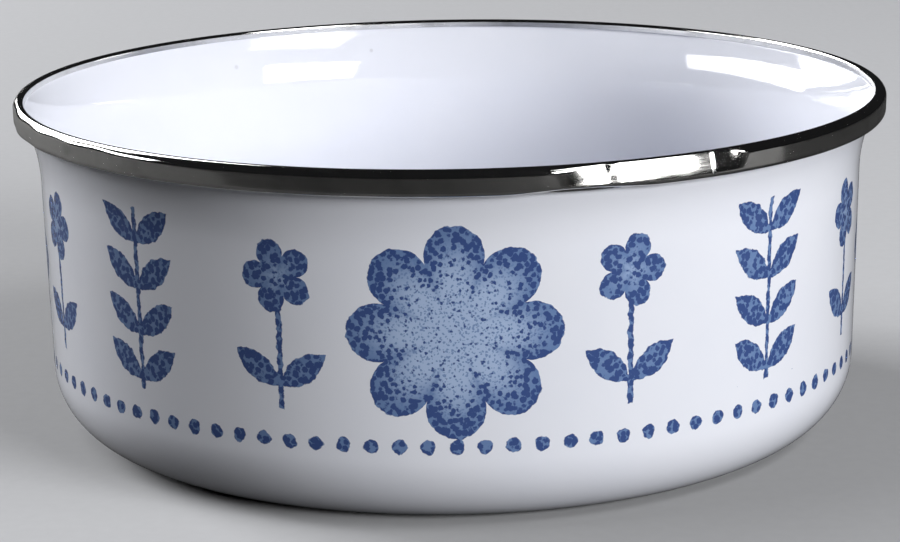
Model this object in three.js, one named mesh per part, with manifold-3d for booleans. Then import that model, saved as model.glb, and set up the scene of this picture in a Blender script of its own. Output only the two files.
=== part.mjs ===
// Enamelled steel bowl with a crimped stainless rim band.
// Millimetres, +Z up, origin on the floor at the middle of the base, -Y towards the front.
import * as THREE from 'three';
import { mergeGeometries, mergeVertices } from 'three/addons/utils/BufferGeometryUtils.js';
import Module from 'manifold-3d';

// Overall sizes
const rimDiameter = 240; // across the outside of the rim band
const bowlHeight = 93.5; // from the floor to the top of the rim band

// Sheet and coats
const steelThickness = 0.6;
const insideEnamelThickness = 0.25;
const outsideEnamelThickness = 0.25;

// Pressed shape, measured on the outside of the outside coat
const wallDraft = 1.25; // degrees that the wall leans out
const baseCornerRadius = 20; // from the standing ring into the wall
const standingRingWidth = 14; // flat ring that the bowl stands on
const basePanelRise = 1; // middle of the base above the floor
const basePanelBendRadius = 8; // two equal bends lift the middle of the base
const flareRadius = 41; // wall turning out below the rim
const flareAngle = 27; // degrees that the flare turns out
const lipReturnRadius = 2.5; // above the flare the edge turns up again
const lipReturnAngle = 27; // degrees that it turns up
const lipLength = 1.3; // straight lip that the rim band grips

// Rim band, a strip folded over the lip and crimped under the flare
const stripThickness = 0.4;
const bandHeight = 6.6; // from the crown to the bottom of the hem
const innerFoldRadius = 0.7; // outside of the tight fold over the lip
const crownWidth = 0.5; // flat top between the two folds
const outerFoldRadius = 2; // outside of the round fold down to the skirt
const hemRadius = 1.2; // outside of the turn at the bottom
const crimpAngle = 35; // degrees that the crimped leg rises inwards
const lipEndClearance = 0.1; // from the end of the lip to the start of the inner fold
const crimpClearance = 0.3; // from the crimped leg to the flare
const seamAngle = 32; // degrees from the front, towards +X
const seamGap = 0.3; // between the two ends of the strip

// Fineness of the round surfaces
const turns = 56; // facets around the bowl
const baseBendSteps = 1;
const cornerSteps = 6;
const flareSteps = 3;
const lipReturnSteps = 1;
const innerFoldSteps = 2;
const outerFoldSteps = 4;
const hemSteps = 3;
const crimpSteps = 1;

// Finishes
const whiteEnamel = { color: 0xeef0f6, roughness: 0.1, metalness: 0 };
const darkSteel = { color: 0x54575b, roughness: 0.55, metalness: 0.9 };
const polishedSteel = { color: 0xc9cbce, roughness: 0.14, metalness: 1 };

const wasm = await Module();
wasm.setup();

function leftOf(heading) {
  return new THREE.Vector2(-Math.sin(heading), Math.cos(heading));
}

function along(heading) {
  return new THREE.Vector2(Math.cos(heading), Math.sin(heading));
}

// A sheet's section, drawn like a bent wire: straights and bends follow each other without a corner.
// x is the distance from the bowl's axis, y is the height, and a heading of 0 points away from the axis.
class SectionLine {
  constructor(start, heading) {
    this.place = start.clone();
    this.heading = heading;
    this.stations = [];
    this.mark();
  }

  mark() {
    this.stations.push({ place: this.place.clone(), left: leftOf(this.heading) });
  }

  straight(length) {
    this.place.addScaledVector(along(this.heading), length);
    this.mark();
    return this;
  }

  // A positive turn bends to the left of the heading.
  bend(radius, turn, steps) {
    const reach = Math.sign(turn) * radius;
    const centre = this.place.clone().addScaledVector(leftOf(this.heading), reach);
    const firstHeading = this.heading;
    for (let step = 1; step <= steps; step += 1) {
      this.heading = firstHeading + (turn * step) / steps;
      this.place = centre.clone().addScaledVector(leftOf(this.heading), -reach);
      this.mark();
    }
    return this;
  }

  // The same line moved to its left, as the other face of a sheet is.
  offset(distance) {
    return this.stations.map(({ place, left }) => place.clone().addScaledVector(left, distance));
  }
}

// Headings along the pressing
const level = 0;
const wallHeading = THREE.MathUtils.degToRad(90 - wallDraft);
const flareTurn = THREE.MathUtils.degToRad(flareAngle);
const flareHeading = wallHeading - flareTurn;
const lipReturn = THREE.MathUtils.degToRad(lipReturnAngle);
const lipHeading = flareHeading + lipReturn;
const straightDown = level - Math.PI / 2;
const levelInwards = straightDown - Math.PI / 2;

// Depths below the outside surface of the bowl
const outsideFace = 0;
const steelOutsideFace = outsideEnamelThickness;
const steelInsideFace = steelOutsideFace + steelThickness;
const insideFace = steelInsideFace + insideEnamelThickness;

// The lip ends where the band's inner fold leaves room for it.
function lipEndOutside() {
  const innerFoldCentre = rimDiameter / 2 - outerFoldRadius - crownWidth;
  const end = new THREE.Vector2(innerFoldCentre, bowlHeight - innerFoldRadius);
  end.addScaledVector(leftOf(lipHeading), innerFoldRadius - stripThickness);
  end.addScaledVector(along(lipHeading), -lipEndClearance);
  return end.addScaledVector(leftOf(lipHeading), -insideFace);
}

// Outside of the bowl, from the axis along the base, up the wall, out along the flare and up to the lip's end.
function drawPressing() {
  const lipStart = lipEndOutside().addScaledVector(along(lipHeading), -lipLength);
  const returnCentre = lipStart.clone().addScaledVector(leftOf(lipHeading), lipReturnRadius);
  const flareEnd = returnCentre.clone().addScaledVector(leftOf(flareHeading), -lipReturnRadius);
  const flareCentre = flareEnd.clone().addScaledVector(leftOf(flareHeading), -flareRadius);
  const flareStart = flareCentre.clone().addScaledVector(leftOf(wallHeading), flareRadius);
  const cornerRise = baseCornerRadius * (1 - Math.cos(wallHeading));
  const wallLength = (flareStart.y - cornerRise) / Math.sin(wallHeading);
  const wallFoot = flareStart.clone().addScaledVector(along(wallHeading), -wallLength);
  const standingRadius = wallFoot.x - baseCornerRadius * Math.sin(wallHeading);
  const panelTurn = Math.acos(1 - basePanelRise / (2 * basePanelBendRadius));
  const panelRun = 2 * basePanelBendRadius * Math.sin(panelTurn);
  const panelRadius = standingRadius - standingRingWidth - panelRun;
  const line = new SectionLine(new THREE.Vector2(0, basePanelRise), level);
  line.straight(panelRadius);
  line.bend(basePanelBendRadius, -panelTurn, baseBendSteps);
  line.bend(basePanelBendRadius, panelTurn, baseBendSteps);
  line.straight(standingRingWidth);
  line.bend(baseCornerRadius, wallHeading, cornerSteps);
  line.straight(wallLength);
  line.bend(flareRadius, -flareTurn, flareSteps);
  line.bend(lipReturnRadius, lipReturn, lipReturnSteps);
  line.straight(lipLength);
  return line;
}

// Distance from a point along a heading to a chain of points.
function reachTo(start, heading, chain) {
  const ahead = along(heading);
  let nearest = Infinity;
  for (let index = 1; index < chain.length; index += 1) {
    const edge = chain[index].clone().sub(chain[index - 1]);
    const toEdge = chain[index - 1].clone().sub(start);
    const slant = ahead.cross(edge);
    const distance = toEdge.cross(edge) / slant;
    const share = toEdge.cross(ahead) / slant;
    if (distance > 0 && share >= 0 && share <= 1) {
      nearest = Math.min(nearest, distance);
    }
  }
  return nearest;
}

// The face of the strip that lies on the lip, from inside the bowl over the top to the crimped end.
function drawBand(pressing) {
  const seat = pressing.offset(insideFace).at(-2);
  const skirtLength = bandHeight - outerFoldRadius - hemRadius;
  const hemInside = hemRadius - stripThickness;
  const line = new SectionLine(seat, lipHeading);
  line.straight(lipLength);
  line.straight(lipEndClearance);
  line.bend(innerFoldRadius - stripThickness, level - lipHeading, innerFoldSteps);
  line.straight(crownWidth);
  line.bend(outerFoldRadius - stripThickness, straightDown - level, outerFoldSteps);
  line.straight(skirtLength);
  line.bend(hemInside, levelInwards - straightDown, hemSteps);
  line.bend(hemInside, -THREE.MathUtils.degToRad(crimpAngle), crimpSteps);
  const barrier = pressing.offset(-crimpClearance);
  const outerCorner = line.place.clone().addScaledVector(leftOf(line.heading), stripThickness);
  const innerReach = reachTo(line.place, line.heading, barrier);
  const outerReach = reachTo(outerCorner, line.heading, barrier);
  return line.straight(Math.min(innerReach, outerReach));
}

function flipFaces(geometry) {
  geometry.index.array.reverse();
  return geometry;
}

// A sheet between two depths of a line, turned about the bowl's axis. Both faces are turned from the same
// end of the line, so that two sheets which share a face share its facets, and rings close the edges.
function turnSheet(line, nearDepth, farDepth) {
  const near = line.offset(nearDepth);
  const far = line.offset(farDepth);
  const faces = [new THREE.LatheGeometry(near, turns)];
  faces.push(flipFaces(new THREE.LatheGeometry(far, turns)));
  faces.push(new THREE.LatheGeometry([near.at(-1), far.at(-1)], turns));
  const startsOnAxis = near[0].x === 0;
  if (!startsOnAxis) {
    faces.push(new THREE.LatheGeometry([far[0], near[0]], turns));
  }
  return mergeGeometries(faces).rotateX(Math.PI / 2);
}

function toSolid(geometry) {
  const bare = geometry.clone();
  bare.deleteAttribute('normal');
  bare.deleteAttribute('uv');
  const welded = mergeVertices(bare);
  const vertProperties = new Float32Array(welded.attributes.position.array);
  const triVerts = new Uint32Array(welded.index.array);
  return new wasm.Manifold(new wasm.Mesh({ numProp: 3, vertProperties, triVerts }));
}

function toGeometry(solid) {
  const { vertProperties, triVerts } = solid.getMesh();
  const geometry = new THREE.BufferGeometry();
  geometry.setAttribute('position', new THREE.BufferAttribute(vertProperties, 3));
  geometry.setIndex(new THREE.BufferAttribute(triVerts, 1));
  geometry.computeVertexNormals();
  return geometry;
}

// The narrow space between the two ends of the strip, a little larger than the band's section.
function seamCutter(band) {
  const corners = [...band.offset(0), ...band.offset(stripThickness)];
  const section = new THREE.Box2().setFromPoints(corners).expandByScalar(seamGap);
  const size = section.getSize(new THREE.Vector2());
  const middle = section.getCenter(new THREE.Vector2());
  const cutter = new THREE.BoxGeometry(seamGap, size.x, size.y);
  cutter.translate(0, -middle.x, middle.y);
  return cutter.rotateZ(THREE.MathUtils.degToRad(seamAngle));
}

function makeMesh(name, geometry, finish) {
  const mesh = new THREE.Mesh(geometry, new THREE.MeshStandardMaterial(finish));
  mesh.name = name;
  return mesh;
}

function makeSteelBody(pressing) {
  const geometry = turnSheet(pressing, steelOutsideFace, steelInsideFace);
  return makeMesh('steel_body', geometry, darkSteel);
}

function makeInsideEnamel(pressing) {
  const geometry = turnSheet(pressing, steelInsideFace, insideFace);
  return makeMesh('inside_enamel', geometry, whiteEnamel);
}

function makeOutsideEnamel(pressing) {
  const geometry = turnSheet(pressing, outsideFace, steelOutsideFace);
  return makeMesh('outside_enamel', geometry, whiteEnamel);
}

function makeRimBand(pressing) {
  const band = drawBand(pressing);
  const ring = toSolid(turnSheet(band, 0, stripThickness));
  const strip = ring.subtract(toSolid(seamCutter(band)));
  return makeMesh('rim_band', toGeometry(strip), polishedSteel);
}

const pressing = drawPressing();
const bowl = new THREE.Group();
bowl.name = 'enamelled_bowl';
bowl.add(makeSteelBody(pressing));
bowl.add(makeInsideEnamel(pressing));
bowl.add(makeOutsideEnamel(pressing));
bowl.add(makeRimBand(pressing));

export default bowl;
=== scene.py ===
# %% [markdown]
# # An enamelled steel bowl with a stainless rim
#
# The bowl is one sheet of steel, pressed to shape and coated with white glass on both faces. A narrow
# stainless strip is folded over its flared edge. The frame that is loaded first holds the measured solids,
# in metres, with +Z up and -Y towards the front. Every piece below stays in that frame, so nothing has to
# be fitted by eye.

# %% Load the frame
import math

import bmesh
import bpy
from mathutils import Matrix, Quaternion, Vector, noise


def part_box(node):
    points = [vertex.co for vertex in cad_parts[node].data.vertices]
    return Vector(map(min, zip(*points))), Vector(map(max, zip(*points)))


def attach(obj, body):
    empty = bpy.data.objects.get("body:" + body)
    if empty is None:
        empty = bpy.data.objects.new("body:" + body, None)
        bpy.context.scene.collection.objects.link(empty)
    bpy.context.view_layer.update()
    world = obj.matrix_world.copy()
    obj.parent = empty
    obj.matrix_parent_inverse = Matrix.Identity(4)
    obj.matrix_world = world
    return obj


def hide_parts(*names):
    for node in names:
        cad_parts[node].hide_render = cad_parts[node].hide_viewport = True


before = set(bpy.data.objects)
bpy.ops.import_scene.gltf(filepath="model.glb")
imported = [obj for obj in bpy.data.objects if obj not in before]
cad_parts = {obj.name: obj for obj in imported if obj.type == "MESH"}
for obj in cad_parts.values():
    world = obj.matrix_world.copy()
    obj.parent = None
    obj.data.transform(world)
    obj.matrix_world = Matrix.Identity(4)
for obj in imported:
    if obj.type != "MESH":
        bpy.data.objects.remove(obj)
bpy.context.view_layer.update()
mm = 0.001
print("frame holds", sorted(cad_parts))

# %% [markdown]
# ## The camera
#
# The photograph looks down on the bowl from the front by about fourteen degrees. A camera can be dragged
# into place, but here it is worked out from three facts: where it stands, what it looks at and how far
# away, in pixels, its picture would hang. A small roll follows the photograph, where the rim's right end
# sits higher.

# %% Place the camera
photo_width = 900
focal_pixels = 2800
sensor_width = 36.0
camera_place = Vector((-0.0039, -0.7664, 0.2272))
camera_target = Vector((-0.0005, 0.0, 0.0400))
camera_roll = math.radians(0.92)

camera_data = bpy.data.cameras.new("photo camera")
camera_data.sensor_width = sensor_width
camera_data.lens = focal_pixels / photo_width * sensor_width
camera = bpy.data.objects.new("photo camera", camera_data)
bpy.context.scene.collection.objects.link(camera)
bpy.context.scene.camera = camera

forward = (camera_target - camera_place).normalized()
level_right = forward.cross(Vector((0, 0, 1))).normalized()
level_up = level_right.cross(forward)
right = level_right * math.cos(camera_roll) - level_up * math.sin(camera_roll)
up = level_right * math.sin(camera_roll) + level_up * math.cos(camera_roll)
turn = Matrix((right, up, -forward)).transposed().to_4x4()
camera.matrix_world = Matrix.Translation(camera_place) @ turn
print("camera looks down by", round(math.degrees(math.asin(-forward.z)), 1), "degrees")

# %% [markdown]
# ## Drawing a section like a bent wire
#
# Sheet metal keeps its thickness, so a bowl is best drawn as one line that is bent and then given
# thickness, rather than as two unrelated curves. The line below knows where it stands and where it is
# heading. A straight carries it on and a bend turns it about a centre at its side, so neighbouring parts
# always meet without a corner. The face at any depth is the same line moved to its left.

# %% A line of straights and bends
def along(heading):
    return Vector((math.cos(heading), math.sin(heading)))


def left_of(heading):
    return Vector((-math.sin(heading), math.cos(heading)))


class SectionLine:
    """A sheet's section. x is the distance from the bowl's axis and y is the height."""

    def __init__(self, start, heading):
        self.place = start.copy()
        self.heading = heading
        self.stations = []
        self.mark()

    def mark(self):
        self.stations.append((self.place.copy(), left_of(self.heading)))

    def straight(self, length, steps=1, bow=0.0):
        """Carries the line on. A bow turns it a little on the way."""
        for _ in range(steps):
            self.heading += bow / (2 * steps)
            self.place = self.place + along(self.heading) * (length / steps)
            self.heading += bow / (2 * steps)
            self.mark()

    def bend(self, radius, turn, steps):
        reach = math.copysign(radius, turn)
        centre = self.place + left_of(self.heading) * reach
        first_heading = self.heading
        for step in range(1, steps + 1):
            self.heading = first_heading + turn * step / steps
            self.place = centre - left_of(self.heading) * reach
            self.mark()

    def face(self, depth):
        return [place + left * depth for place, left in self.stations]


# %% [markdown]
# ## The pressed shape
#
# A press draws the flat steel disc into a cup: a slightly raised middle, a flat ring to stand on, a round
# corner, a nearly upright wall and a long soft flare, above which the edge turns up again in a short lip.
# Only the rim's radius and height come from the frame. The rest are the sizes of the pressing, and the
# wall's length and the ring's radius follow from them.

# %% Draw the pressing
_, band_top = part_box("rim_band")
rim_radius = band_top.x
bowl_height = band_top.z

steel_thickness = 0.6 * mm
coat_thickness = 0.25 * mm
strip_thickness = 0.4 * mm
outer_fold_radius = 2.0 * mm
inner_fold_radius = 0.7 * mm
crown_width = 0.5 * mm
corner_radius = 20 * mm
standing_ring_width = 14 * mm
panel_rise = 1 * mm
panel_bend_radius = 8 * mm
flare_radius = 41 * mm
lip_return_radius = 2.5 * mm
lip_length = 1.3 * mm
lip_end_clearance = 0.1 * mm

level = 0.0
wall_heading = math.radians(90 - 1.25)
flare_turn = math.radians(27)
flare_heading = wall_heading - flare_turn
lip_return = math.radians(27)
lip_heading = flare_heading + lip_return

steel_outside = coat_thickness
steel_inside = steel_outside + steel_thickness
bowl_inside = steel_inside + coat_thickness


def lip_end():
    """The outside corner of the lip, where the rim strip's inner fold leaves room for it."""
    fold_centre = Vector((rim_radius - outer_fold_radius - crown_width, bowl_height - inner_fold_radius))
    lip_depth = inner_fold_radius - strip_thickness - bowl_inside
    return fold_centre + left_of(lip_heading) * lip_depth - along(lip_heading) * lip_end_clearance


def draw_pressing():
    lip_start = lip_end() - along(lip_heading) * lip_length
    return_centre = lip_start + left_of(lip_heading) * lip_return_radius
    flare_end = return_centre - left_of(flare_heading) * lip_return_radius
    flare_centre = flare_end - left_of(flare_heading) * flare_radius
    flare_start = flare_centre + left_of(wall_heading) * flare_radius
    corner_rise = corner_radius * (1 - math.cos(wall_heading))
    wall_length = (flare_start.y - corner_rise) / math.sin(wall_heading)
    wall_foot = flare_start - along(wall_heading) * wall_length
    standing_radius = wall_foot.x - corner_radius * math.sin(wall_heading)
    panel_turn = math.acos(1 - panel_rise / (2 * panel_bend_radius))
    panel_run = 2 * panel_bend_radius * math.sin(panel_turn)
    line = SectionLine(Vector((0, panel_rise)), level)
    line.straight(standing_radius - standing_ring_width - panel_run, 6)
    line.bend(panel_bend_radius, -panel_turn, 4)
    line.bend(panel_bend_radius, panel_turn, 4)
    line.straight(standing_ring_width, 3)
    line.bend(corner_radius, wall_heading, 24)
    line.straight(wall_length, 8)
    line.bend(flare_radius, -flare_turn, 16)
    line.bend(lip_return_radius, lip_return, 6)
    line.straight(lip_length)
    return line


pressing = draw_pressing()
print("pressing drawn with", len(pressing.stations), "stations")

# %% [markdown]
# ## Turning sheets
#
# A turned piece can be made with the Screw modifier, but then the middle of the base is a pile of loose
# points. Here each station becomes a ring of points, or a single point on the axis, and neighbouring rings
# are joined by faces. The two coats and the steel share their faces exactly, as fused glass does.

# %% Turn a section into a piece
facets_around = 192
sharp_edge = math.radians(40)


def on_ring(radius, angle, height):
    """A point at an angle from the front of the bowl, counted towards +X."""
    return Vector((radius * math.sin(angle), -radius * math.cos(angle), height))


def ring_of(shape, point):
    if point.x < 1e-9:
        return [shape.verts.new((0, 0, point.y))] * facets_around
    angles = [math.tau * step / facets_around for step in range(facets_around)]
    return [shape.verts.new(on_ring(point.x, angle, point.y)) for angle in angles]


def join_rings(shape, first, second):
    for here in range(len(first)):
        behind = here - 1
        corners = (first[behind], first[here], second[here], second[behind])
        shape.faces.new(list(dict.fromkeys(corners)))


def turned_sheet(line, near_depth, far_depth):
    shape = bmesh.new()
    section = line.face(near_depth) + line.face(far_depth)[::-1]
    rings = [ring_of(shape, point) for point in section]
    for first, second in zip(rings, rings[1:]):
        join_rings(shape, first, second)
    return shape


def add_piece(name, shape, node):
    """Makes the piece of that shape, which stands for a node of the frame, and hides that node's own part.
    """
    bmesh.ops.recalc_face_normals(shape, faces=shape.faces[:])
    mesh = bpy.data.meshes.new(name)
    shape.to_mesh(mesh)
    shape.free()
    mesh.shade_smooth()
    mesh.set_sharp_from_angle(angle=sharp_edge)
    piece = bpy.data.objects.new(name, mesh)
    bpy.context.scene.collection.objects.link(piece)
    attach(piece, "root")
    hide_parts(node)
    print(name, "has", len(mesh.polygons), "faces")
    return piece


# %% The steel and its two coats
steel_shape = turned_sheet(pressing, steel_outside, steel_inside)
steel_sheet = add_piece("pressed_steel_sheet", steel_shape, "steel_body")
inside_coat = add_piece("inside_coat", turned_sheet(pressing, steel_inside, bowl_inside), "inside_enamel")
outside_coat = add_piece("outside_coat", turned_sheet(pressing, 0.0, steel_outside), "outside_enamel")

# %% [markdown]
# ## The rim strip
#
# The strip starts inside the bowl, folds tightly over the lip, rounds off into a short skirt, turns in at
# the hem and is crimped up towards the flare, just short of the enamel. Its two ends meet in a seam. It is
# drawn as one more section line, twice: as it was rolled, and as it is at the front right, where a knock
# has tightened the fold and left the skirt leaning out and bowed. Both lines have the same stations, so
# that one can run into the other.

# %% Draw the strip
strip_height = 6.6 * mm
hem_radius = 1.2 * mm
crimp_turn = math.radians(-35)
crimp_length = 1.1 * mm
knocked_fold_radius = 0.85 * mm
knocked_lean = math.radians(17)
knocked_bow = math.radians(-7)
straight_down = level - math.pi / 2
level_inwards = straight_down - math.pi / 2


def draw_strip(fold_radius, lean, bow):
    """The face that lies on the lip, with the stations where its fold, skirt and hem start or end."""
    hem_inside = hem_radius - strip_thickness
    fold_drop = fold_radius * (1 - math.sin(lean))
    hem_drop = hem_radius * (1 + math.sin(lean + bow))
    skirt_drop = strip_height - fold_drop - hem_drop
    seat = pressing.face(bowl_inside)[-2]
    line = SectionLine(seat, lip_heading)
    line.straight(lip_length + lip_end_clearance, 2)
    line.bend(inner_fold_radius - strip_thickness, level - lip_heading, 8)
    line.straight(crown_width, 2)
    marks = [len(line.stations) - 1]
    line.bend(fold_radius - strip_thickness, straight_down + lean, 12)
    marks.append(len(line.stations) - 1)
    line.straight(skirt_drop / math.cos(lean + bow / 2), 14, bow)
    line.bend(hem_inside, level_inwards - line.heading, 10)
    marks.append(len(line.stations) - 1)
    line.bend(hem_inside, crimp_turn, 4)
    line.straight(crimp_length, 3)
    return line, marks


strip_line, (fold_top, skirt_start, hem_bottom) = draw_strip(outer_fold_radius, 0.0, 0.0)
knocked_line, _ = draw_strip(knocked_fold_radius, knocked_lean, knocked_bow)
skirt_top = (skirt_start - fold_top) / (hem_bottom - fold_top)
knocked_reach = max(place.x for place in knocked_line.face(strip_thickness))
print("strip section has", len(strip_line.stations), "stations")
print("knocked strip reaches", round(knocked_reach / mm, 2), "mm from the axis")

# %% [markdown]
# ## Dents and waves
#
# Thin strip never stays perfectly round: it ripples where it was rolled over the edge and dents where it
# was knocked. A bump map could fake the ripples, but the outline of the hem moves too, so the points are
# moved. All moves are inwards or upwards, so the strip keeps its outer size. A share of 0 is the top of the
# fold and 1 is the bottom of the hem.

# %% Shape the strip's dents
seam_angle = math.radians(32)
wave_depth = 0.16 * mm
ripple_depth = 0.5 * mm
ripple_pace = 0.62
crease_depth = 0.2 * mm
knock_lift = 0.85 * mm
pinch_depth = 0.4
end_turn = 0.05 * mm
end_reach = 0.65 * mm

# Where each dent starts, is full, eases and ends, in degrees round the rim
ripple_zone = (-112, -96, -50, -38)
crease_zone = (-56, -54.3, -54, -53)
lift_zone = (5, 14, 16, 25)
knock_zone = (9.5, 19, 34, 38)
pinch_zone = (17.7, 18.5, 18.7, 19.7)


def smooth(low, high, value):
    share = min(max((value - low) / (high - low), 0.0), 1.0)
    return share * share * (3 - 2 * share)


def between(start, full, ease, end, value):
    """Rises from start to full, and falls from ease to end."""
    return smooth(start, full, value) * (1 - smooth(ease, end, value))


def push_in(angle, share):
    """How far the strip is pressed towards the axis. One end stands a little proud at the seam."""
    degrees = math.degrees(angle)
    below_fold = smooth(0, skirt_top, share)
    uneven = 0.5 + 0.5 * noise.noise(on_ring(9, angle, share * 0.7))
    wave = wave_depth * uneven * smooth(0.2, 1, share)
    swell = 0.7 + 0.3 * math.sin(degrees * ripple_pace)
    ripple = ripple_depth * between(*ripple_zone, degrees) * swell * below_fold
    crease = crease_depth * between(*crease_zone, degrees) * between(0.4, 0.6, 0.7, 0.95, share)
    from_seam = (angle - seam_angle) * rim_radius
    turned_end = end_turn * (1 - smooth(0, end_reach, abs(from_seam))) * below_fold
    return wave + ripple + crease + math.copysign(turned_end, from_seam)


def push_up(angle, share):
    """How far the hem is bent upwards."""
    return knock_lift * between(*lift_zone, math.degrees(angle)) * smooth(0.55, 1, share)


def knocked_share(angle):
    """How far the strip's section has gone over to the knocked one, less at a pinch in its middle."""
    degrees = math.degrees(angle)
    return between(*knock_zone, degrees) * (1 - pinch_depth * between(*pinch_zone, degrees))


deepest = max(push_in(math.radians(degrees), skirt_top) for degrees in range(-180, 180))
print("deepest dent", round(deepest / mm, 2), "mm")

# %% [markdown]
# ## Sweeping the strip
#
# The strip is not quite a full turn, because of the seam, so it is swept from one cut end round to the
# other, with a cap on each end. Each station carries its share, which the dents need. On the crimped leg
# the share falls back to nothing, so the leg keeps clear of the enamel.

# %% Sweep the strip round the rim
strip_steps = 800
end_steps = 5
seam_gap = 0.3 * mm


def station_shares(count):
    """Share for each station: 0 inside the bowl, rising to 1 at the hem, falling on the crimped leg."""
    shares = []
    for station in range(count):
        rising = (station - fold_top) / (hem_bottom - fold_top)
        falling = (count - 1 - station) / (count - 1 - hem_bottom)
        shares.append(max(min(rising, falling), 0.0))
    return shares


def both_faces(line):
    return line.face(0.0) + line.face(strip_thickness)[::-1]


def strip_loop(shape, shares, angle):
    loop = []
    for rolled, knocked, share in zip(both_faces(strip_line), both_faces(knocked_line), shares):
        point = rolled.lerp(knocked, knocked_share(angle))
        radius = point.x - push_in(angle, share)
        height = point.y + push_up(angle, share)
        loop.append(shape.verts.new(on_ring(radius, angle, height)))
    return loop


def swept_strip():
    shape = bmesh.new()
    shares = station_shares(len(strip_line.stations))
    both_shares = shares + shares[::-1]
    gap_angle = seam_gap / rim_radius
    sweep = math.tau - gap_angle
    first_angle = seam_angle + gap_angle / 2 - math.tau
    near_end = [end_reach * step / (end_steps * rim_radius * sweep) for step in range(end_steps)]
    middle = [step / strip_steps for step in range(1, strip_steps)]
    turns = near_end + middle + [1 - turn for turn in near_end[::-1]]
    loops = []
    for turn in turns:
        angle = first_angle + sweep * turn
        seen_angle = (angle + math.pi) % math.tau - math.pi
        loops.append(strip_loop(shape, both_shares, seen_angle))
    for first, second in zip(loops, loops[1:]):
        join_rings(shape, first, second)
    shape.faces.new(loops[0])
    shape.faces.new(loops[-1])
    return shape


rim_strip = add_piece("rim_strip", swept_strip(), "rim_band")

# %% [markdown]
# ## Sums with shader sockets
#
# Finishes are made of nodes, and long chains of Math nodes are hard to read. The two classes below let a
# finish be written as ordinary sums: a Wire is one output socket, and every operator on it adds a Math
# node. A Finish is one material, and its node method adds any other node.

# %% Wires and finishes
class Wire:
    """One output socket of a finish, which takes part in Python sums."""

    def __init__(self, finish, socket):
        self.finish = finish
        self.socket = socket

    def __add__(self, other):
        return self.finish.math("ADD", self, other)

    def __radd__(self, other):
        return self.finish.math("ADD", other, self)

    def __sub__(self, other):
        return self.finish.math("SUBTRACT", self, other)

    def __rsub__(self, other):
        return self.finish.math("SUBTRACT", other, self)

    def __mul__(self, other):
        return self.finish.math("MULTIPLY", self, other)

    def __rmul__(self, other):
        return self.finish.math("MULTIPLY", other, self)

    def __truediv__(self, other):
        return self.finish.math("DIVIDE", self, other)

    def __pow__(self, other):
        return self.finish.math("POWER", self, other)

    def __abs__(self):
        return self.finish.math("ABSOLUTE", self)


class Finish:
    """One material and the nodes that make it."""

    def __init__(self, name):
        self.material = bpy.data.materials.new(name)
        self.material.use_nodes = True
        self.tree = self.material.node_tree
        self.tree.nodes.clear()

    def node(self, kind, settings, sockets, output=0):
        """Adds a node, with its settings first and then the values or wires of its sockets."""
        made = self.tree.nodes.new(kind)
        for name, value in settings.items():
            setattr(made, name, value)
        for name, value in sockets.items():
            if isinstance(value, Wire):
                self.tree.links.new(value.socket, made.inputs[name])
            else:
                made.inputs[name].default_value = value
        return Wire(self, made.outputs[output]) if made.outputs else None

    def math(self, operation, *values):
        return self.node("ShaderNodeMath", {"operation": operation}, dict(enumerate(values)))

    def ease(self, value, low, high):
        """0 below low, 1 above high, and smooth between them."""
        settings = {"interpolation_type": "SMOOTHSTEP"}
        sockets = {"Value": value, "From Min": low, "From Max": high}
        return self.node("ShaderNodeMapRange", settings, sockets)

    def tint(self, share, first, second):
        """Mixes two colours by a share."""
        sockets = {0: share, 6: first, 7: second}
        return self.node("ShaderNodeMix", {"data_type": "RGBA"}, sockets, 2)

    def vector(self, x, y, z):
        return self.node("ShaderNodeCombineXYZ", {}, {"X": x, "Y": y, "Z": z})

    def cloud(self, place, scale, detail=2.0):
        sockets = {"Vector": place, "Scale": scale, "Detail": detail}
        return self.node("ShaderNodeTexNoise", {"noise_dimensions": "3D"}, sockets)

    def surface(self, sockets):
        """The shader itself and the material's output."""
        shader = self.node("ShaderNodeBsdfPrincipled", {}, sockets)
        self.node("ShaderNodeOutputMaterial", {}, {"Surface": shader})
        return self.material


# %% [markdown]
# ## Places on the bowl
#
# Patterns on a turned piece are easiest to draw in the bowl's own terms: how far round, how high and how
# far from the axis. Object coordinates would be enough for plain mottling, but a wrapped print needs the
# angle. All three are worked out in millimetres, so sizes in a finish are real sizes.

# %% Angle, height and distance as wires
wall_radius_mm = 113.0


class BowlPlace:
    """Where a point of a finish lies on the bowl, in millimetres."""

    def __init__(self, finish):
        seen = finish.node("ShaderNodeTexCoord", {}, {}, "Object")
        settings = {"operation": "SCALE"}
        self.spot = finish.node("ShaderNodeVectorMath", settings, {0: seen, "Scale": 1 / mm})
        across = [finish.node("ShaderNodeSeparateXYZ", {}, {0: self.spot}, axis) for axis in "XYZ"]
        self.height = across[2]
        self.radius = finish.math("SQRT", across[0] ** 2 + across[1] ** 2)
        self.angle = finish.math("ARCTAN2", across[0], 0 - across[1])
        self.around = self.angle * wall_radius_mm


def linear(red, green, blue):
    """A colour as seen on a screen, 0 to 255, as the shader's light values."""
    shares = [value / 255 for value in (red, green, blue)]
    return tuple(((share + 0.055) / 1.055) ** 2.4 for share in shares) + (1.0,)


print("screen white becomes", linear(255, 255, 255)[:3])

# %% [markdown]
# ## Finish of the steel sheet
#
# Under the glass the steel is dark from the kiln and a little uneven. It shows nowhere from outside, but
# the piece can be taken apart, so it gets a real finish: mottled oxide over fine drawing marks that run up
# the wall.

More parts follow.
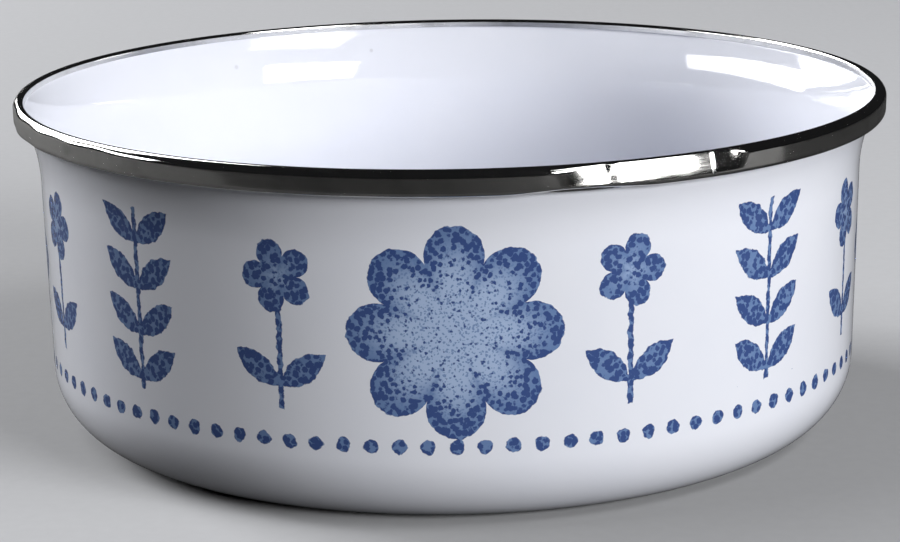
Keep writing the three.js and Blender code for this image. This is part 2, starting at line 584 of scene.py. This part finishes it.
# %% Dark sheet steel
def make_sheet_steel():
    finish = Finish("kiln-darkened steel")
    place = BowlPlace(finish)
    mottle = finish.cloud(place.spot, 0.12, 4.0)
    marks = finish.cloud(finish.vector(place.around * 1.5, place.radius * 0.2, place.height * 0.03), 1.0)
    colour = finish.tint(mottle, linear(74, 76, 80), linear(126, 126, 128))
    bump = finish.node("ShaderNodeBump", {}, {"Strength": 0.4, "Distance": 0.02 * mm, "Height": marks})
    return finish.surface({
        "Base Color": colour,
        "Metallic": 0.9,
        "Roughness": 0.38 + 0.25 * mottle,
        "Normal": bump,
    })


steel_sheet.data.materials.append(make_sheet_steel())
print("steel finish has", len(steel_sheet.active_material.node_tree.nodes), "nodes")

# %% [markdown]
# ## White vitreous enamel
#
# Enamel is glass: smooth, a little wavy where it flowed in the kiln, and slightly bluish. A plain white
# with low roughness looks like plastic, so the surface gets a slow wave, a finer ripple, a very faint
# mottle and hair-fine scuffs that only change the gloss. Colour, gloss and bump are separate functions,
# because the outside coat adds a print to each.

# %% The glass surface
coat_white = linear(240, 242, 250)
coat_shade = linear(234, 237, 247)


def enamel_colour(finish, place):
    return finish.tint(finish.cloud(place.spot, 0.05), coat_white, coat_shade)


def enamel_gloss(finish, place):
    scuffs = finish.cloud(finish.vector(place.around * 0.15, place.radius, place.height * 2.2), 1.0, 4.0)
    return 0.05 + 0.10 * finish.ease(scuffs, 0.52, 0.80)


def enamel_bump(finish, place, raised):
    wave = finish.cloud(place.spot, 0.09, 1.0)
    ripple = finish.cloud(place.spot, 0.45, 1.0)
    height = wave * 2.0 + ripple * 0.35 + raised
    return finish.node("ShaderNodeBump", {}, {"Strength": 1.0, "Distance": 0.02 * mm, "Height": height})


# %% [markdown]
# ## Finish of the inside coat
#
# Looking closely, the white inside carries two faint specks, hardly darker than the glass. Random specks
# would be a guess, so each one is placed by its angle from the front and its height, and has its own
# radius. Its edge is soft, because the speck lies under the gloss.

# %% Inside enamel with its specks
speck_places = (
    (math.radians(-145), 83.5, 0.95),
    (math.radians(-168), 85.0, 0.80),
)
speck_brown = linear(96, 84, 74)
speck_strength = 0.18


def speck(finish, place, angle, height, size):
    across = (place.angle - angle) * wall_radius_mm
    distance = finish.math("SQRT", across ** 2 + (place.height - height) ** 2)
    return 1 - finish.ease(distance, size * 0.3, size)


def make_inside_enamel():
    finish = Finish("white inside enamel")
    place = BowlPlace(finish)
    marks = [speck(finish, place, *spot) for spot in speck_places]
    colour = finish.tint(sum(marks) * speck_strength, enamel_colour(finish, place), speck_brown)
    return finish.surface({
        "Base Color": colour,
        "Roughness": enamel_gloss(finish, place),
        "IOR": 1.52,
        "Normal": enamel_bump(finish, place, 0.0),
    })


inside_coat.data.materials.append(make_inside_enamel())
print("inside finish has", len(inside_coat.active_material.node_tree.nodes), "nodes")

# %% [markdown]
# ## The printed blossoms
#
# The outside carries a blue stippled print, fired under the gloss. It could be painted on an image, but an
# image blurs close up, so each motif is a formula: a number that is positive inside the shape and counts
# millimetres to its edge. The print repeats four times round the wall: a large rosette at the front, small
# blossoms beside it, and a leafy sprig between two repeats, with a row of dabs near the base.

# %% Motifs of the print
repeats = 4
repeat_length = math.tau * wall_radius_mm / repeats


def blossom(finish, x, y, petals, core, reach):
    """A round flower of that many petals, from the core's radius out to its reach."""
    lobes = abs(finish.math("COSINE", finish.math("ARCTAN2", y, x) * (petals / 2)))
    outline = core + (reach - core) * lobes ** 0.6
    return outline - finish.math("SQRT", x ** 2 + y ** 2)


def dab(finish, x, y, size):
    return size - finish.math("SQRT", x ** 2 + y ** 2)


leaf_slant = math.radians(36)
leaf_width = 3.4


def leaf_row(finish, x, y, pitch, length):
    """Pairs of pointed leaves along an upright stem, one pair in each pitch."""
    step = y - finish.math("FLOOR", y / pitch) * pitch - pitch * 0.2
    side = abs(x)
    run = side * math.cos(leaf_slant) + step * math.sin(leaf_slant)
    off = step * math.cos(leaf_slant) - side * math.sin(leaf_slant)
    middle = run * (2 / length) - 1
    return leaf_width * (1 - middle ** 2) - abs(off)


def sprig(finish, x, height, bottom, top, pitch, length):
    """A stem with leaves, from its bottom to its top."""
    leaves = leaf_row(finish, x, height - bottom, pitch, length)
    leafy = finish.math("MAXIMUM", leaves, 0.75 - abs(x))
    inside = finish.math("MINIMUM", height - bottom, top - height)
    return finish.math("MINIMUM", leafy, inside)


# %% [markdown]
# ## The stippled inks
#
# The print was dabbed on in dots: packed and dark near the edge of a motif, sparse over a lighter ground
# towards its middle. A Voronoi texture gives one dot to a cell, and growing the dots where the shape's edge
# is near makes them run together as wet ink does.

# %% Outside enamel with its print
ink_dark = linear(60, 82, 137)
ink_ground = linear(106, 133, 179)
ink_light = linear(172, 192, 225)
dot_pitch = 1.45
fine_pitch = 0.8
dot_blur = 0.07
ragged_edge = 1.6
ink_blur = 0.12
packed_depth = 0.5
sparse_depth = 15.0
rosette_height = 52.0
flower_height = 65.0
dab_height = 23.0
dabs_around = 100


def nearest(finish, turns):
    """How far the turns are past the nearest whole one."""
    return turns - finish.math("ROUND", turns)


def print_motifs(finish, place):
    """The largest of all motifs' formulas: where it is positive there is ink."""
    turns = place.angle * (repeats / math.tau)
    x = nearest(finish, turns) * repeat_length
    between_x = nearest(finish, turns + 0.5) * repeat_length
    beside_x = abs(x) - repeat_length / 4
    dab_turns = place.angle * (dabs_around / math.tau)
    dab_x = nearest(finish, dab_turns) * (math.tau * wall_radius_mm / dabs_around)
    shapes = [
        blossom(finish, x, place.height - rosette_height, petals=8, core=18.5, reach=27.0),
        blossom(finish, beside_x, place.height - flower_height, petals=5, core=5.0, reach=9.5),
        sprig(finish, beside_x, place.height, bottom=31.0, top=60.0, pitch=30.0, length=15.0),
        sprig(finish, between_x, place.height, bottom=30.0, top=77.5, pitch=12.0, length=15.5),
        dab(finish, dab_x, place.height - dab_height, size=1.9),
    ]
    drawn = shapes[0]
    for shape in shapes[1:]:
        drawn = finish.math("MAXIMUM", drawn, shape)
    return drawn


def stipple(finish, place, pitch, size):
    """Ink dots, one to a cell, whose size is a share of the pitch."""
    warp = finish.node("ShaderNodeTexNoise", {}, {"Vector": place.spot, "Scale": 1.3}, "Color")
    settings = {"operation": "MULTIPLY_ADD"}
    bent = finish.node("ShaderNodeVectorMath", settings, {0: warp, 1: (0.9, 0.9, 0.9), 2: place.spot})
    cells = {"Vector": bent, "Scale": 1 / pitch}
    distance = finish.node("ShaderNodeTexVoronoi", {"feature": "F1"}, cells, "Distance")
    return 1 - finish.ease(distance - size, -dot_blur, dot_blur)


def make_outside_enamel():
    finish = Finish("printed outside enamel")
    place = BowlPlace(finish)
    uneven = finish.cloud(place.spot, 0.5, 2.0) - 0.5
    depth = print_motifs(finish, place) + uneven * ragged_edge
    ink = finish.ease(depth, -ink_blur, ink_blur)
    packed = 1 - finish.ease(depth, packed_depth, sparse_depth)
    fine_dots = stipple(finish, place, fine_pitch, 0.36)
    ground = finish.tint(packed, ink_light, ink_ground)
    dotted = finish.tint(fine_dots * 0.8, ground, ink_ground)
    inked = finish.tint(stipple(finish, place, dot_pitch, 0.24 + 0.36 * packed), dotted, ink_dark)
    return finish.surface({
        "Base Color": finish.tint(ink, enamel_colour(finish, place), inked),
        "Roughness": enamel_gloss(finish, place) + 0.05 * ink,
        "IOR": 1.52,
        "Normal": enamel_bump(finish, place, ink * 0.4),
    })


outside_coat.data.materials.append(make_outside_enamel())
print("outside finish has", len(outside_coat.active_material.node_tree.nodes), "nodes")

# %% [markdown]
# ## Polished stainless steel
#
# The strip is polished along its length, so its fine scratches run round the rim. Noise that is stretched
# along the angle gives them, in the gloss and in a very shallow bump. Smudges from hands dull the polish in
# slow patches.

# %% The strip's finish
strip_bright = linear(214, 213, 211)
strip_dull = linear(196, 195, 193)


def make_polished_steel():
    finish = Finish("polished stainless")
    place = BowlPlace(finish)
    lines = finish.cloud(finish.vector(place.around * 0.05, place.radius * 7, place.height * 7), 1.0, 3.0)
    smudges = finish.cloud(place.spot, 0.11, 3.0)
    wear = finish.ease(smudges, 0.45, 0.75)
    bump = finish.node("ShaderNodeBump", {}, {"Strength": 0.5, "Distance": 0.004 * mm, "Height": lines})
    return finish.surface({
        "Base Color": finish.tint(wear, strip_bright, strip_dull),
        "Metallic": 1.0,
        "Roughness": 0.07 + 0.08 * wear + 0.10 * finish.ease(lines, 0.5, 0.75),
        "Normal": bump,
    })


rim_strip.data.materials.append(make_polished_steel())
print("strip finish has", len(rim_strip.active_material.node_tree.nodes), "nodes")

# %% [markdown]
# ## The floor
#
# A pale floor shows a white bowl best when it is a little darker than the bowl. It is one large face with a
# faint mottle, so that it doesn't look like a cut-out.

# %% Lay the floor
floor_reach = 4.0


def make_floor_paper():
    finish = Finish("pale studio paper")
    seen = finish.node("ShaderNodeTexCoord", {}, {}, "Object")
    fibre = finish.cloud(seen, 260.0, 3.0)
    return finish.surface({
        "Base Color": finish.tint(fibre, linear(200, 201, 204), linear(206, 207, 210)),
        "Roughness": 0.75,
        "Specular IOR Level": 0.0,
    })


def flat_sheet(name, left, right, near, far, height, material):
    corners = [(left, near, height), (right, near, height), (right, far, height), (left, far, height)]
    mesh = bpy.data.meshes.new(name)
    mesh.from_pydata(corners, [], [(0, 1, 2, 3)])
    mesh.materials.append(material)
    sheet = bpy.data.objects.new(name, mesh)
    bpy.context.scene.collection.objects.link(sheet)
    return sheet


flat_sheet("floor", -floor_reach, floor_reach, -floor_reach, floor_reach, 0.0, make_floor_paper())
print("floor reaches", floor_reach, "m each way")

# %% [markdown]
# ## Cloth and cards out of sight
#
# White enamel takes up light from the floor, and polished steel is only as dark or bright as what it faces.
# On a pale floor both would turn flat and white. A photographer would lay dark cloth and cards round the
# bowl and crop them off. Here the camera simply doesn't see them: the cloth, which gets paler to the
# right, keeps light from bouncing up, and the steel mirrors five cards, black in front, dark at the right
# and paler at the left and near side.

# %% Lay the cloth and the cards
cloth_lift = 0.1 * mm
cloth_fade = 0.35
cloth_dark = 55
cloth_pale = 135
cloth_roughness = 0.9
card_lift = 0.2 * mm
front_edge = -0.3
bowl_edge = -0.06
right_edge = 0.3


def grey(shade):
    return linear(shade, shade, shade)


def unseen_sheet(material, left, right, near, far, lift):
    sheet = flat_sheet(material.name, left, right, near, far, lift, material)
    sheet.visible_camera = False
    sheet.visible_shadow = False
    return sheet


def make_cloth():
    """Dark cloth that gets paler towards the right."""
    finish = Finish("cloth")
    seen = finish.node("ShaderNodeTexCoord", {}, {}, "Object")
    across = finish.node("ShaderNodeSeparateXYZ", {}, {0: seen}, "X")
    paler = finish.ease(across, -cloth_fade, cloth_fade)
    colour = finish.tint(paler, grey(cloth_dark), grey(cloth_pale))
    return finish.surface({"Base Color": colour, "Roughness": cloth_roughness})


def lay_card(name, shade, left, right, near, far):
    matt = Finish(name).surface({"Base Color": grey(shade), "Roughness": cloth_roughness})
    card = unseen_sheet(matt, left, right, near, far, card_lift)
    card.visible_diffuse = False


cloth = unseen_sheet(make_cloth(), -floor_reach, floor_reach, -floor_reach, floor_reach, cloth_lift)
cloth.visible_glossy = False
lay_card("front card", 22, -floor_reach, floor_reach, -floor_reach, front_edge)
lay_card("near card", 70, -floor_reach, right_edge, front_edge, bowl_edge)
lay_card("front right card", 130, right_edge, floor_reach, front_edge, bowl_edge)
lay_card("right card", 40, 0.0, floor_reach, bowl_edge, floor_reach)
lay_card("left card", 80, -floor_reach, 0.0, bowl_edge, floor_reach)
print("a cloth and five cards lie round the bowl")

# %% [markdown]
# ## Soft boxes
#
# The bright patches inside the bowl are mirrored soft boxes. Following the mirror back from each patch says
# where its box stood: one low and one high at the front right, and a long slanted one at the left. A panel
# behind the left one draws the white line along the rim's fold. Lamps that near would burn spots into the
# floor, so here they are glowing cards that only polished surfaces see. Angles are counted from the front,
# towards +X.

# %% Set up the mirrored boxes
bowl_middle = Vector((0, 0, 0.05))


def face_bowl(thing, azimuth, elevation, distance, roll=0):
    """Stands a card or a lamp round the bowl, facing its middle."""
    flat = distance * math.cos(math.radians(elevation))
    lift = distance * math.sin(math.radians(elevation))
    thing.location = bowl_middle + on_ring(flat, math.radians(azimuth), lift)
    aim = (bowl_middle - thing.location).to_track_quat("-Z", "Y")
    thing.rotation_euler = (aim @ Quaternion((0, 0, 1), math.radians(roll))).to_euler()


def mirrored_box(name, width, height, glow):
    """A glowing card that only polished surfaces see."""
    finish = Finish(name)
    lit = finish.surface({
        "Base Color": linear(0, 0, 0),
        "Specular IOR Level": 0.0,
        "Emission Color": linear(255, 255, 255),
        "Emission Strength": glow,
    })
    lit.cycles.emission_sampling = "NONE"
    box = flat_sheet(name, -width / 2, width / 2, -height / 2, height / 2, 0.0, lit)
    box.visible_camera = False
    box.visible_diffuse = False
    box.visible_shadow = False
    return box


low_box = mirrored_box("low box", width=0.53, height=0.27, glow=17.6)
face_bowl(low_box, azimuth=45, elevation=17, distance=1.0)
high_box = mirrored_box("high box", width=0.46, height=0.25, glow=5.5)
face_bowl(high_box, azimuth=54, elevation=45, distance=1.0)
left_box = mirrored_box("left box", width=1.1, height=0.24, glow=13.3)
face_bowl(left_box, azimuth=-107, elevation=18.5, distance=1.2, roll=15)
back_panel = mirrored_box("back panel", width=0.8, height=0.9, glow=9.7)
face_bowl(back_panel, azimuth=-145, elevation=27, distance=1.4)
print("four mirrored boxes")

# %% [markdown]
# ## Lamps
#
# The light itself comes from four soft lamps far off, which reach the floor evenly. Two stand behind the
# boxes at the front right and two at the left, and none of them is mirrored. Their powers can be set by
# eye. Here they were first fitted to the photograph's tones on bare enamel, and three were then changed,
# so that less of the inside burns out when the bowl is seen from behind.

# %% Set up the lamps
lamp_distance = 2.5


def far_lamp(name, azimuth, elevation, width, height, power):
    """A soft lamp that lights what is matt but isn't mirrored."""
    light = bpy.data.lights.new(name, "AREA")
    light.shape = "RECTANGLE"
    light.size = width
    light.size_y = height
    light.energy = power
    lamp = bpy.data.objects.new(name, light)
    bpy.context.scene.collection.objects.link(lamp)
    lamp.visible_glossy = False
    face_bowl(lamp, azimuth, elevation, lamp_distance)


far_lamp("low lamp", azimuth=45, elevation=17, width=1.3, height=0.7, power=53)
far_lamp("high lamp", azimuth=54, elevation=45, width=1.2, height=0.7, power=12)
far_lamp("left lamp", azimuth=-122, elevation=19, width=1.4, height=0.7, power=68)
far_lamp("high left lamp", azimuth=-80, elevation=60, width=1.2, height=1.0, power=8)

room_glow = 0.02
world = bpy.data.worlds.new("dim room")
world.use_nodes = True
background = world.node_tree.nodes["Background"]
background.inputs["Color"].default_value = linear(200, 202, 208)
background.inputs["Strength"].default_value = room_glow
bpy.context.scene.world = world
bpy.context.scene.view_settings.view_transform = "Standard"
print("four far lamps and a dim room")
